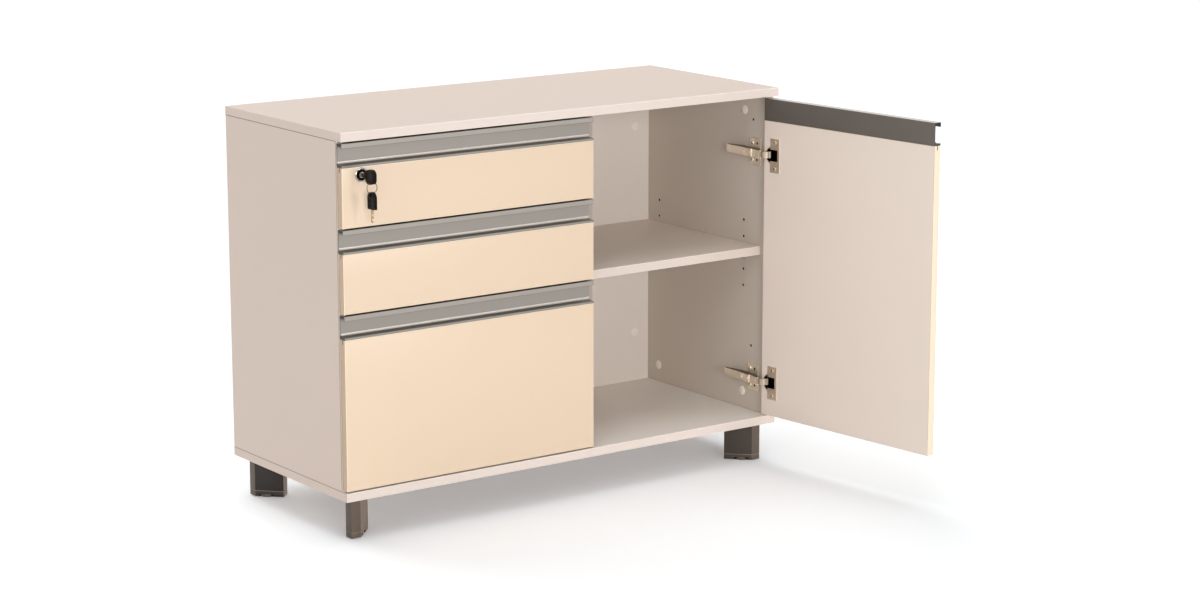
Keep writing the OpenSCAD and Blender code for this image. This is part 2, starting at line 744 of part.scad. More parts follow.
ear_start = upright_front + 17;
arm_web_start = upright_front + 9;
arm_end = arm_web_start + arm_length;
// The saddle that the arm's adjusting screws sit in
saddle = [plate_y - 15, plate_y + 12];
saddle_rise = 1.6;
module hinge_arms() color(nickel_colour) placed() for (h = hinge_zs) {
    // Web away from the side panel, bent outwards at its nose and inwards at its rear end
    translate([0, 0, h - arm_half]) linear_extrude(2 * arm_half) polygon([
        [arm_outer + arm_wall, ear_start - 3.4],
        [arm_outer + arm_wall, arm_end - 8],
        [arm_outer + arm_wall + 2.5, arm_end],
        [arm_outer + 2.5, arm_end],
        [arm_outer, arm_end - 8],
        [arm_outer, ear_start - 3],
        [nose_x, arm_web_start],
        [nose_x, arm_pivot[1]],
        [nose_x + arm_wall, arm_pivot[1]],
        [nose_x + arm_wall, arm_web_start - 0.4]
    ]);
    block([arm_outer - saddle_rise, saddle[0], h - arm_half],
          [arm_outer + eps, saddle[1], h + arm_half]);
    // Two flanges that stand on the plate and end in ears round the pivot
    for (z = [h - arm_half, h + arm_half - arm_wall]) translate([0, 0, z]) difference() {
        union() {
            linear_extrude(arm_wall) polygon([
                [arm_outer, ear_start - eps],
                [arm_face, ear_start - eps],
                [arm_face, plate_y + plate_core / 2],
                [arm_outer + 6, arm_end - 8],
                [arm_outer + 3.5, arm_end],
                [arm_outer + 2.5, arm_end],
                [arm_outer, arm_end - 8]
            ]);
            linear_extrude(arm_wall) polygon([
                arm_pivot + [-eye_radius, 0],
                arm_pivot + [eye_radius, 0],
                [arm_face, ear_start],
                [arm_outer, ear_start]
            ]);
            translate(arm_pivot) cylinder(r = eye_radius, h = arm_wall);
        }
        translate([arm_pivot[0], arm_pivot[1], -eps])
            cylinder(r = pivot_diameter / 2 + pivot_fit, h = arm_wall + 2 * eps);
    }
    // Fixing screw through the web into the plate
    rod_x(arm_outer - saddle_rise - 1, arm_outer - saddle_rise + eps, saddle[1] - 4, h, 3.2);
    rod_x(arm_outer + arm_wall - eps, arm_face, saddle[1] - 4, h, 3);
    rod_x(arm_outer - saddle_rise - 0.8, arm_outer - saddle_rise + eps, saddle[0] + 5, h, 2.6);
}

bow_radius = (link_length * link_length / 4 + link_bow * link_bow) / (2 * link_bow);
bow_half_angle = asin(link_length / 2 / bow_radius);
module hinge_links() color(nickel_colour) placed() for (h = hinge_zs)
    translate([arm_pivot[0], arm_pivot[1], h]) rotate(-link_turn) {
        difference() {
            union() {
                translate([link_length / 2, bow_radius - link_bow, 0])
                    rotate(-90 - bow_half_angle)
                        rotate_extrude(angle = 2 * bow_half_angle)
                            translate([bow_radius - link_thickness / 2, -link_width / 2])
                                square([link_thickness, link_width]);
                for (x = [0, link_length])
                    rod_z(x, 0, -link_width / 2, link_width / 2, eye_radius);
            }
            rod_z(link_length, 0, -link_width, link_width, pivot_diameter / 2 + pivot_fit);
        }
        rod_z(0, 0, -arm_half, arm_half, pivot_diameter / 2);
    }

module hinge_cups() color(nickel_colour) placed() door_at_rest() for (h = hinge_zs) {
    face = front_thickness;
    difference() {
        union() {
            rod_y(cup_x, face - cup_depth, face, h, cup_radius);
            block([door_right - flange_edge - flange_width, face, h - flange_length / 2],
                  [door_right - flange_edge, face + flange_thickness, h + flange_length / 2]);
        }
        rod_y(cup_x, face - cup_depth + cup_wall, face, h, mouth_radius);
        block([door_right - flange_edge - window_width, face - eps, h - window_height / 2],
              [door_right - flange_edge + eps, face + flange_thickness + eps,
               h + window_height / 2]);
        for (s = cup_screw_offsets)
            rod_y(cup_screw_x, face - eps, face + flange_thickness + eps, h + s,
                  cup_screw_radius + pin_fit);
    }
    // Pivot pin across the cup
    pin_half = sqrt(pow(mouth_radius, 2) - pow(cup_pivot_closed[0] - cup_x, 2)) + cup_wall / 2;
    rod_z(cup_pivot_closed[0], cup_pivot_closed[1], h - pin_half, h + pin_half,
          pivot_diameter / 2);
}
module hinge_cup_screws() color(nickel_colour) placed() door_at_rest()
    for (h = hinge_zs, s = cup_screw_offsets) {
        rod_y(cup_screw_x, front_thickness - cup_screw_bite + 1, front_thickness + flange_thickness,
              h + s, cup_screw_radius);
        rod_y(cup_screw_x, front_thickness + flange_thickness,
              front_thickness + flange_thickness + 1.5, h + s, 4);
    }

// Lock in the top drawer's front
module lock_housing() color(nickel_colour) placed() difference() {
    rod_y(lock_centre[0], -1, housing_length, lock_centre[1], housing_diameter / 2);
    rod_y(lock_centre[0], -2, housing_length + 1, lock_centre[1], plug_diameter / 2 + plug_fit);
}
module lock_rosette() color(nickel_colour) placed() difference() {
    rod_y(lock_centre[0], -2, 0, lock_centre[1], rosette_diameter / 2);
    rod_y(lock_centre[0], -3, 1, lock_centre[1], housing_diameter / 2 + housing_fit);
}
keyway = [2.4, 7.4];
key_depth = 14;
module lock_plug() color(nickel_colour) placed() difference() {
    union() {
        rod_y(lock_centre[0], -2.5, housing_length, lock_centre[1], plug_diameter / 2);
        rod_y(lock_centre[0], housing_length - eps, cam_plate_y + cam_plate, lock_centre[1], 2.5);
    }
    block([lock_centre[0] - keyway[0] / 2, -3, lock_centre[1] - keyway[1] / 2],
          [lock_centre[0] + keyway[0] / 2, key_depth + 1, lock_centre[1] + keyway[1] / 2]);
}
// An arm on the plug's end carries the pin that lifts the bar
module lock_cam() color(steel_colour) placed() {
    translate([lock_centre[0], cam_plate_y + cam_plate, lock_centre[1]]) rotate([90, 0, 0])
        linear_extrude(cam_plate) difference() {
            union() {
                circle(r = 5);
                rotate(225) translate([0, -3]) square([cam_pin_radius, 6]);
                rotate(225) translate([cam_pin_radius, 0]) circle(r = 3.5);
            }
            circle(r = 2.5 + pin_fit);
        }
    // The pin is riveted to the plate
    rod_y(cam_pin_at[0], cam_plate_y + cam_plate, cam_plate_y + cam_plate + cam_pin_length,
          cam_pin_at[1], cam_pin_diameter / 2);
}
// The bar stands beside the runners: its fork follows the cam pin, its pegs stop the drawers
module lock_bar() color(steel_colour) placed()
    block([bar_left, bar_y, bar_bottom], [bar_right, bar_y + bar_width, bar_top]);
module lock_bar_fork() color(steel_colour) placed()
    for (z = [cam_pin_at[1] - prong_gap - prong, cam_pin_at[1] + prong_gap])
        block([bar_right, bar_y, z],
              [cam_pin_at[0] + fork_reach, bar_y + bar_width, z + prong]);
module lock_bar_pegs() color(steel_colour) placed() for (i = [0 : 2]) {
    z = box_z(i) + catch_rise - peg_gap - peg_height;
    rod_x(bar_right, box_left - peg_gap, bar_y + bar_width / 2, z + peg_height / 2, peg_height / 2);
}
guide_zs = [for (i = [0 : 2]) runner_z(i) + runner_height / 2 + guide_gap];
module lock_bar_guides() color(black_colour) placed() for (z = guide_zs) difference() {
    block([left_face, bar_y - bar_gap - guide_wall, z],
          [bar_right + bar_gap + guide_wall, bar_y + bar_width + bar_gap + guide_wall,
           z + guide_height]);
    block([left_face - eps, bar_y - bar_gap, z - eps],
          [bar_right + bar_gap, bar_y + bar_width + bar_gap, z + guide_height + eps]);
}

// Key in the lock, with a ring and a spare key
blade_fit = 0.1;
module key() color(black_colour) placed() translate([lock_centre[0], 0, lock_centre[1]]) {
    difference() {
        translate([-head_thickness / 2, -head_distance - head_size / 2, 0]) rotate([0, 90, 0])
            linear_extrude(head_thickness) key_head_plan(head_size, head_size, 9.5);
        rod_x(-head_thickness, head_thickness, head_y, head_hole_z - lock_centre[1], head_hole);
        // Thumb recess on both sides
        for (side = [-1, 1])
            rod_x(side * head_thickness / 2 - recess, side * head_thickness / 2 + recess,
                  -head_distance - head_size / 2 + 2, 1.5, head_size / 3);
    }
    // Collar where the head grips the blade
    rod_y(0, -head_distance - eps, -head_distance + 4, 0, keyway[1] / 2 + 1);
    block([-keyway[0] / 2 + blade_fit, -head_distance - eps, -keyway[1] / 2 + blade_fit],
          [keyway[0] / 2 - blade_fit, key_depth, keyway[1] / 2 - blade_fit]);
}
// The spare key's head: arched on top, almost square at its bottom end
module spare_head_plan(w, h) {
    arch = h / 2;
    r = 2;
    translate([-w / 2 + arch, 0]) circle(r = arch);
    translate([-w / 2 + arch, -arch]) square([w - arch - r, h]);
    translate([w / 2 - r - eps, -arch + r]) square([r + eps, h - 2 * r]);
    for (y = [-1, 1]) translate([w / 2 - r, y * (arch - r)]) circle(r = r);
}
// A square with rounded corners, centred
module key_head_plan(w, h, r = 5) {
    square([w - 2 * r, h], center = true);
    square([w, h - 2 * r], center = true);
    for (x = [-1, 1], y = [-1, 1])
        translate([x * (w / 2 - r), y * (h / 2 - r)]) circle(r = r);
}
module key_ring() color(steel_colour) placed()
    translate([lock_centre[0], head_y, ring_centre_z]) rotate([90, 0, 0])
        rotate_extrude() translate([ring_radius, 0]) circle(r = wire_radius, $fn = 16);
module spare_key() color(black_colour) placed()
    translate([lock_centre[0], head_y, spare_hole_z]) {
        difference() {
            translate([-spare_thickness / 2, 0, spare_hole + 2 - spare_height / 2])
                rotate([0, 90, 0])
                    linear_extrude(spare_thickness) spare_head_plan(spare_height, spare_width);
            rod_x(-spare_thickness, spare_thickness, 0, 0, spare_hole);
            // Two recessed fields on both sides
            for (side = [-1, 1], z = [-8.5, -17])
                block([side * spare_thickness / 2 - recess, -spare_width / 2 + 3.5, z - 3.5],
                      [side * spare_thickness / 2 + recess, spare_width / 2 - 3.5, z + 3.5]);
        }
        // Blade with its cuts on both edges and a pointed tip
        bottom = spare_hole + 2 - spare_height;
        translate([-1, 0, bottom]) rotate([90, 0, 90]) linear_extrude(2) polygon([
            for (side = [1, -1], c = side == 1 ? blade_cuts : blade_cuts_back)
                [side * c[0], -c[1] * spare_blade]
        ]);
    }
// Half width of the blade along its length
blade_cuts = [[3, -0.01], [3, 0.3], [2.1, 0.36], [2.1, 0.42], [3, 0.5], [3, 0.58], [1.9, 0.66],
              [1.9, 0.7], [2.9, 0.78], [2.9, 0.9], [1.2, 1]];
blade_cuts_back = [for (i = [len(blade_cuts) - 1 : -1 : 0]) blade_cuts[i]];

top_panel();
bottom_panel();
left_side_panel();
right_side_panel();
centre_partition();
back_panel();
shelf();
shelf_supports();
cams();
cam_caps();
cam_bolts();
feet();
foot_caps();
foot_screws();
leveller(foot_corners[0]);  // leveller_front_left
leveller(foot_corners[1]);  // leveller_front_right
leveller(foot_corners[2]);  // leveller_rear_left
leveller(foot_corners[3]);  // leveller_rear_right
drawer_front(0);  // bottom_drawer_front
drawer_front(1);  // middle_drawer_front
drawer_front(2);  // top_drawer_front
drawer_profile(0);  // bottom_drawer_profile
drawer_profile(1);  // middle_drawer_profile
drawer_profile(2);  // top_drawer_profile
drawer_box(0);  // bottom_drawer_box
drawer_box(1);  // middle_drawer_box
drawer_box(2);  // top_drawer_box
runner_screws();
runner_outer(0);  // bottom_runner_outer
runner_outer(1);  // middle_runner_outer
runner_outer(2);  // top_runner_outer
runner_middle(0);  // bottom_runner_middle
runner_middle(1);  // middle_runner_middle
runner_middle(2);  // top_runner_middle
runner_inner(0);  // bottom_runner_inner
runner_inner(1);  // middle_runner_inner
runner_inner(2);  // top_runner_inner
file_rails();
door_board();
door_profile();
hinge_plates();
hinge_plate_screws();
hinge_arms();
hinge_links();
hinge_cups();
hinge_cup_screws();
lock_housing();
lock_rosette();
lock_plug();
lock_cam();
lock_bar();
lock_bar_fork();
lock_bar_pegs();
lock_bar_guides();
key();
key_ring();
spare_key();
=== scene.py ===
import json
import math

import bmesh
import bpy
from mathutils import Matrix, Vector


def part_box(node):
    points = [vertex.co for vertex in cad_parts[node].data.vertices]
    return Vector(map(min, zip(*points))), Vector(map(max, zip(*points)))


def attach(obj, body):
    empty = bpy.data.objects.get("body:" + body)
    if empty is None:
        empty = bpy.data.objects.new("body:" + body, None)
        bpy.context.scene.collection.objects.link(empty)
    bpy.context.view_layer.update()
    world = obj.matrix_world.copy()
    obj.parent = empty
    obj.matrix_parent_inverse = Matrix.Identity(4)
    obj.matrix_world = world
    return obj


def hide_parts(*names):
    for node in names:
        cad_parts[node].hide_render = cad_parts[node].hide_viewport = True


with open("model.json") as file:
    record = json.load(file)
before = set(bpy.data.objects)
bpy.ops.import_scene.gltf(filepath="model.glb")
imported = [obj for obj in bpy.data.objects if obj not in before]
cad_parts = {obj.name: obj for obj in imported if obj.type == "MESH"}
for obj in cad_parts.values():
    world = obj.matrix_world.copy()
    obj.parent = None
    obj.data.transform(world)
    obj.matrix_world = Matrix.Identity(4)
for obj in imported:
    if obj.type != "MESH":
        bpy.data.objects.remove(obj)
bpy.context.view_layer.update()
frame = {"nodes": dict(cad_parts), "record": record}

MM = 0.001
X, Y, Z = Vector((1, 0, 0)), Vector((0, 1, 0)), Vector((0, 0, 1))
nodes = frame["nodes"]
slot_of = {s["node"]: s["material_slot"] for s in frame["record"]["subparts"]}
body_of = {n: b for b, members in frame["record"]["behaviour"]["bodies"].items() for n in members}


# Camera at the photograph's angle
CAMERA_PLACE = Vector((-3.0332, -4.2231, 1.4831))
CAMERA_YAW = -36.059
CAMERA_PITCH = 12.03
CAMERA_LENS = 87.9
CAMERA_SENSOR = 36

camera_data = bpy.data.cameras.new("camera")
camera_data.sensor_width = CAMERA_SENSOR
camera_data.lens = CAMERA_LENS
camera = bpy.data.objects.new("camera", camera_data)
camera.location = CAMERA_PLACE
camera.rotation_euler = (math.radians(90 - CAMERA_PITCH), 0, math.radians(CAMERA_YAW))
bpy.context.scene.collection.objects.link(camera)
bpy.context.scene.camera = camera


# Shader maths
class Wire:
    """An output socket, on which arithmetic adds Math nodes."""

    def __init__(self, paint, socket):
        self.paint = paint
        self.socket = socket

    def math(self, operation, *values):
        return self.paint.add("ShaderNodeMath", {"operation": operation}, dict(enumerate(values)))

    def __add__(self, other):
        return self.math("ADD", self, other)

    __radd__ = __add__

    def __sub__(self, other):
        return self.math("SUBTRACT", self, other)

    def __rsub__(self, other):
        return self.math("SUBTRACT", other, self)

    def __mul__(self, other):
        return self.math("MULTIPLY", self, other)

    __rmul__ = __mul__


# A Mix node's sockets for colours
MIX_FACTOR = 0
MIX_FIRST = 6
MIX_SECOND = 7
MIX_RESULT = 2


class Paint:
    """A material with a Principled shader and the nodes that feed it."""

    def __init__(self, name, **constants):
        self.material = bpy.data.materials.new(name)
        self.material.use_nodes = True
        self.tree = self.material.node_tree
        self.shader = self.tree.nodes["Principled BSDF"]
        for socket, value in constants.items():
            self.set(socket.replace("_", " "), value)

    def put(self, socket, value):
        """Links a wire to a socket, or sets the socket's own value."""
        if isinstance(value, Wire):
            self.tree.links.new(value.socket, socket)
        elif hasattr(value, "__len__") and len(value) == 3 and socket.type == "RGBA":
            socket.default_value = (*value, 1)
        else:
            socket.default_value = value

    def set(self, socket, value):
        self.put(self.shader.inputs[socket], value)

    def add(self, kind, settings=None, inputs=None, output=0):
        node = self.tree.nodes.new(kind)
        for key, value in (settings or {}).items():
            setattr(node, key, value)
        for key, value in (inputs or {}).items():
            self.put(node.inputs[key], value)
        return Wire(self, node.outputs[output])

    def place(self):
        """Object coordinates in metres, as a vector."""
        return self.add("ShaderNodeTexCoord", output="Object")

    def part(self, vector, axis):
        return self.add("ShaderNodeSeparateXYZ", None, {"Vector": vector}, axis)

    def stretch(self, vector, scale):
        return self.add("ShaderNodeMapping", None, {"Vector": vector, "Scale": scale})

    def noise(self, vector, scale, detail, roughness=0.5):
        inputs = {"Vector": vector, "Scale": scale, "Detail": detail, "Roughness": roughness}
        return self.add("ShaderNodeTexNoise", None, inputs)

    def mix(self, factor, first, second):
        inputs = {MIX_FACTOR: factor, MIX_FIRST: first, MIX_SECOND: second}
        return self.add("ShaderNodeMix", {"data_type": "RGBA"}, inputs, MIX_RESULT)

    def tint(self, factor, colour, darkest, lightest):
        """Base colour between a darker and a lighter shade of one colour."""
        self.set("Base Color", self.mix(factor, shade(colour, darkest), shade(colour, lightest)))

    def bump(self, height, distance, strength):
        inputs = {"Height": height, "Distance": distance, "Strength": strength}
        self.set("Normal", self.add("ShaderNodeBump", None, inputs))


def tone(red, green, blue):
    """A colour as seen on a screen, 0 to 255, in linear light."""
    return tuple(
        c / 12.92 if c <= 0.04045 else ((c + 0.055) / 1.055) ** 2.4
        for c in (red / 255, green / 255, blue / 255)
    )


def shade(colour, factor):
    return tuple(c * factor for c in colour)


# Materials
def melamine(name, colour):
    """Board with a printed melamine face: a faint cloud, a fine grain and a light texture."""
    paint = Paint(name, Specular_IOR_Level=0.4)
    place = paint.place()
    cloud = paint.noise(place, scale=9, detail=3)
    grain = paint.noise(paint.stretch(place, (160, 900, 900)), scale=1, detail=2)
    amount = 0.06 * (cloud - 0.5) + 0.05 * (grain - 0.5)
    paint.tint(amount + 0.5, colour, darkest=0.92, lightest=1.08)
    paint.set("Roughness", 0.5 + 0.1 * (grain - 0.5))
    paint.bump(paint.noise(place, scale=2200, detail=2), distance=0.00003, strength=0.5)
    return paint.material


def edging(name, colour, roughness=0.42):
    """Edge band: smoother than the board's face, with faint patches."""
    paint = Paint(name, Specular_IOR_Level=0.45)
    place = paint.place()
    patch = paint.noise(place, scale=40, detail=2)
    paint.tint(patch, colour, darkest=0.98, lightest=1.02)
    paint.set("Roughness", roughness + 0.06 * (patch - 0.5))
    paint.bump(paint.noise(place, scale=1500, detail=1), distance=0.00002, strength=0.4)
    return paint.material


def lacquer(name, colour):
    """Smooth, half-gloss front with a very slight orange peel."""
    paint = Paint(name, Specular_IOR_Level=0.5, Coat_Weight=0.25, Coat_Roughness=0.12)
    place = paint.place()
    cloud = paint.noise(place, scale=6, detail=2)
    paint.tint(cloud, colour, darkest=0.985, lightest=1.015)
    paint.set("Roughness", 0.3 + 0.05 * (cloud - 0.5))
    paint.bump(paint.noise(place, scale=500, detail=2), distance=0.00004, strength=0.35)
    return paint.material


def anodised(name, colour, roughness=0.36):
    """Extruded aluminium with the fine lines of its die, along X."""
    paint = Paint(name, Metallic=0.85, Specular_IOR_Level=0.5)
    place = paint.place()
    lines = paint.noise(paint.stretch(place, (6, 5000, 5000)), scale=1, detail=3, roughness=0.6)
    cloud = paint.noise(place, scale=14, detail=2)
    paint.tint(lines, colour, darkest=0.9, lightest=1.1)
    paint.set("Roughness", roughness + 0.14 * (lines - 0.5) + 0.05 * (cloud - 0.5))
    paint.bump(lines, distance=0.00002, strength=0.5)
    return paint.material


def plated(name, colour, roughness, metallic=1.0):
    """Plating on pressed or turned metal, with a slight waviness and a few dull patches."""
    paint = Paint(name, Metallic=metallic)
    place = paint.place()
    cloud = paint.noise(place, scale=160, detail=3)
    fine = paint.noise(place, scale=2600, detail=2)
    paint.tint(cloud, colour, darkest=0.88, lightest=1.1)
    paint.set("Roughness", roughness + 0.12 * (cloud - 0.5) + 0.06 * (fine - 0.5))
    paint.bump(cloud, distance=0.00008, strength=0.4)
    return paint.material


def zinc(name, colour):
    """Galvanised steel with its crystal patches."""
    paint = Paint(name, Metallic=0.9)
    place = paint.place()
    inputs = {"Vector": place, "Scale": 260}
    crystals = paint.add("ShaderNodeTexVoronoi", {"feature": "F1"}, inputs, "Color")
    patch = paint.part(crystals, 0)
    fine = paint.noise(place, scale=1800, detail=2)
    paint.tint(patch, colour, darkest=0.88, lightest=1.08)
    paint.set("Roughness", 0.34 + 0.1 * (patch - 0.5) + 0.06 * (fine - 0.5))
    paint.bump(fine, distance=0.00002, strength=0.4)
    return paint.material


def powder(name, colour):
    """Powder-coated sheet with its fine orange peel."""
    paint = Paint(name, Specular_IOR_Level=0.5)
    place = paint.place()
    peel = paint.noise(place, scale=900, detail=2)
    cloud = paint.noise(place, scale=12, detail=2)
    paint.tint(cloud, colour, darkest=0.97, lightest=1.03)
    paint.set("Roughness", 0.42 + 0.08 * (peel - 0.5))
    paint.bump(peel, distance=0.00006, strength=0.5)
    return paint.material


def textured_plastic(name, colour, roughness=0.45):
    """Plastic with a fine upright texture, as on the feet."""
    paint = Paint(name, Specular_IOR_Level=0.36)
    place = paint.place()
    ribs = paint.noise(paint.stretch(place, (2600, 2600, 90)), scale=1, detail=2)
    speck = paint.noise(place, scale=1600, detail=2)
    paint.tint(0.6 * ribs + 0.4 * speck, colour, darkest=0.62, lightest=1.38)
    paint.set("Roughness", roughness + 0.16 * (ribs - 0.5))
    paint.bump(ribs, distance=0.00008, strength=0.6)
    return paint.material


def smooth_plastic(name, colour, roughness):
    """Moulded plastic: nearly even, with a trace of flow in its gloss."""
    paint = Paint(name, Specular_IOR_Level=0.1)
    place = paint.place()
    flow = paint.noise(place, scale=220, detail=2)
    fine = paint.noise(place, scale=3200, detail=1)
    paint.tint(flow, colour, darkest=0.93, lightest=1.07)
    paint.set("Roughness", roughness + 0.08 * (flow - 0.5))
    paint.bump(fine, distance=0.000015, strength=0.4)
    return paint.material


def chipboard(name, darkest, lightest):
    """Raw chipboard inside a bore."""
    paint = Paint(name, Specular_IOR_Level=0.2, Roughness=0.9)
    flakes = paint.noise(paint.place(), scale=1300, detail=4)
    paint.set("Base Color", paint.mix(flakes, darkest, lightest))
    paint.bump(flakes, distance=0.0003, strength=0.8)
    return paint.material


GREIGE = tone(215, 197, 184)
GREIGE_EDGE = tone(228, 213, 203)
CREAM = tone(230, 206, 179)
# Cream with painted shade, for side edges.
CREAM_SIDE_SHADE = tone(196, 170, 142)
# Cream with a painted highlight, for rounded edges.
CREAM_GLINT = tone(250, 232, 204)
ALUMINIUM = tone(147, 141, 134)
NICKEL = tone(242, 229, 210)
FOOT = tone(98, 85, 74)

board = melamine("greige melamine", GREIGE)
# Painted light: the inner faces of the carcass are lighter and less warm than its outer faces.
board_inner_painted_light = melamine("greige melamine inside with painted light", tone(223, 212, 203))
# Painted light: the shelf's faces are lighter still.
board_shelf_painted_light = melamine("greige melamine of the shelf with painted light", tone(230, 219, 209))
# Painted light: the bottom panel's inner face is the lightest.
board_floor_painted_light = melamine("greige melamine of the floor with painted light", tone(244, 239, 232))
# Painted shade: the right side's inner face, behind the door, is darker.
board_shaded = melamine("greige melamine with painted shade behind the door", tone(198, 187, 175))
# The door's inner face is greige melamine, with painted light that makes it paler.
door_inner_painted_light = melamine("greige melamine with painted light", tone(233, 218, 206))
board_edge = edging("greige edge band", GREIGE_EDGE)
# Painted shade: the shelf's edge band is darker.
edge_shelf_shade = edging("greige edge band of the shelf with painted shade", shade(GREIGE_EDGE, 0.9))
# Painted shade: the partition's edge band behind the fronts is darker.
edge_shaded = edging("greige edge band with painted shade behind the fronts", tone(168, 154, 144))
# Painted highlight on the boards' rounded edges at the front.
board_glint = edging("greige rounded edge with painted highlight", tone(252, 243, 236), roughness=0.38)
# Painted shade in the joints between boards and beside the fronts.
board_joint_shade = edging("greige edge with painted shade in a joint", tone(150, 133, 119), roughness=0.5)
front = lacquer("cream front", CREAM)
# Painted shade on the side edges of the drawer fronts, and on the door's edges towards its inner face.
front_side_shade = edging("cream edge band with painted shade", CREAM_SIDE_SHADE, roughness=0.34)
# Painted highlight on the rounded edges of the fronts and on the door's edges.
front_glint = edging("cream rounded edge with painted highlight", CREAM_GLINT, roughness=0.3)
# Painted shade on the drawer fronts' edges towards the gap.
front_gap_shade = edging("cream edge with painted shade towards the gap", tone(120, 100, 80), roughness=0.5)
profile = anodised("satin aluminium", ALUMINIUM)
# Painted shade on the profiles' faces at the back.
profile_back_shade = anodised("aluminium with painted shade at the back", shade(ALUMINIUM, 0.6), roughness=0.55)
# Painted shade under the lip and at the ends of the profiles.
profile_shade_line = anodised("shaded aluminium edge", shade(ALUMINIUM, 0.3), roughness=0.5)
# Painted light on the lip's front.
profile_lip_light = anodised("satin aluminium of the lip with painted light", shade(ALUMINIUM, 1.2))
# Painted highlight on the cove and on top of the profiles.
profile_cove_highlight = anodised("aluminium of the cove with painted highlight", shade(ALUMINIUM, 1.75), roughness=0.28)
profile_hollow = anodised("shaded aluminium under the cove", shade(ALUMINIUM, 0.95), roughness=0.45)
nickel = plated("nickel", NICKEL, roughness=0.3, metallic=0.72)
link_nickel = plated("brushed nickel of the link", tone(178, 162, 142), roughness=0.42, metallic=0.7)
flange_nickel = plated("brushed nickel", tone(208, 191, 170), roughness=0.38, metallic=0.68)
# Painted highlight on the edge of the cups' flanges.
flange_glint = plated("nickel edge with painted highlight", tone(240, 230, 216), roughness=0.3, metallic=0.6)
# Painted shade on the arms' upper faces and on the key ring.
shaded_nickel = plated("shaded nickel", tone(86, 72, 58), roughness=0.35)
# Dark metal for the lock's housing, also used as painted shade in holes, recesses, the cups, the rosette's
# bore and the keyway.
dark_metal_and_shade = plated("dark metal and painted shade", tone(22, 18, 15), roughness=0.45)
chrome = plated("chrome", tone(164, 160, 156), roughness=0.12)
blade = plated("nickel silver", tone(186, 166, 140), roughness=0.25)
steel = zinc("zinc-plated steel", tone(186, 186, 184))
sheet = powder("light grey powder coat", tone(200, 198, 195))
foot = textured_plastic("dark foot plastic", FOOT)
# Painted shade and painted light on the feet by the way a face looks, and more painted shade on the rear
# foot.
foot_left_shade = textured_plastic("dark foot plastic with painted shade to the left", shade(FOOT, 0.75))
foot_slant_shade = textured_plastic("dark foot plastic with painted shade across the view", shade(FOOT, 0.45))
foot_rear_shade = textured_plastic("dark foot plastic with painted shade at the rear", shade(FOOT, 0.16))
foot_right_light = textured_plastic("dark foot plastic with painted light to the right", shade(FOOT, 2.2))
# Painted shade in the joint under the cabinet and in the wheels' notches.
foot_joint_shade = textured_plastic("painted shade in the joint of a foot", shade(FOOT, 0.02), roughness=0.8)
# Painted highlight on the upper edge of the caps.
foot_cap_highlight = textured_plastic("foot cap edge with painted highlight", shade(FOOT, 2.2))
black = smooth_plastic("black plastic", tone(12, 11, 11), roughness=0.3)
# Painted highlight on the edges of the key heads.
black_edge_glint = smooth_plastic("black plastic edge with painted highlight", tone(62, 58, 55), roughness=0.2)
cap = smooth_plastic("pale cap plastic", tone(236, 226, 216), roughness=0.4)
core = chipboard("chipboard core", tone(40, 30, 21), tone(78, 60, 44))

slot_paint = {
    "board": board,
    "front": front,
    "profile": profile,
    "steel": steel,
    "sheet": sheet,
    "nickel": nickel,
    "foot": foot,
    "black": black,
    "cap": cap,
}
for name, node in nodes.items():
    for place in node.material_slots:
        place.material = slot_paint[slot_of[name]]


# Meshes
MERGE_REACH = 0.002 * MM
SEAM_REACH = 0.001 * MM
FLAT_TURN = math.radians(0.5)

# Cosines between a face's normal and a direction
FLAT = 0.97
ALONG = 0.9
TOWARDS = 0.25


def finish_piece(name, shape, paints, node=None, body=None, sharp=35):
    """Makes a piece of a bmesh, rounds its shading up to the sharp angle, and lets it ride."""
    for face in shape.faces:
        face.smooth = True
    for edge in shape.edges:
        edge.smooth = edge.is_manifold and edge.calc_face_angle() < math.radians(sharp)
    mesh = bpy.data.meshes.new(name)
    shape.to_mesh(mesh)
    shape.free()
    for paint in paints:
        mesh.materials.append(paint)
    piece = bpy.data.objects.new(name, mesh)
    bpy.context.scene.collection.objects.link(piece)
    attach(piece, body or body_of[node])
    if node:
        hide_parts(node)


def copy_of(node):
    """A CAD node's shape with its triangles joined and its flat faces whole."""
    shape = bmesh.new()
    shape.from_mesh(nodes[node].data)
    bmesh.ops.remove_doubles(shape, verts=shape.verts, dist=MERGE_REACH)
    bmesh.ops.dissolve_limit(shape, angle_limit=FLAT_TURN, verts=shape.verts, edges=shape.edges)
    return shape


def ease(shape, width, longer=0.0, segments=2, angle=35, paint=-1):
    """Rounds the sharp edges that are longer than a length; paint is a material index for them."""
    edges = [
        edge
        for edge in shape.edges
        if edge.is_manifold and edge.calc_length() > longer and edge.calc_face_angle() > math.radians(angle)
    ]
    bmesh.ops.bevel(
        shape,
        geom=edges,
        offset=width,
        offset_type="OFFSET",
        affect="EDGES",
        segments=segments,
        profile=0.5,
        material=paint,
        clamp_overlap=True,
    )


def paint_faces(shape, paints, choose):
    """Gives each face the one of the paints that choose returns for it."""
    for face in shape.faces:
        face.material_index = paints.index(choose(face))


# Carcass
BOARD_ROUNDING = 0.7 * MM
BORE_MARGIN = 0.9 * MM
BOARD_EDGES = 50 * MM


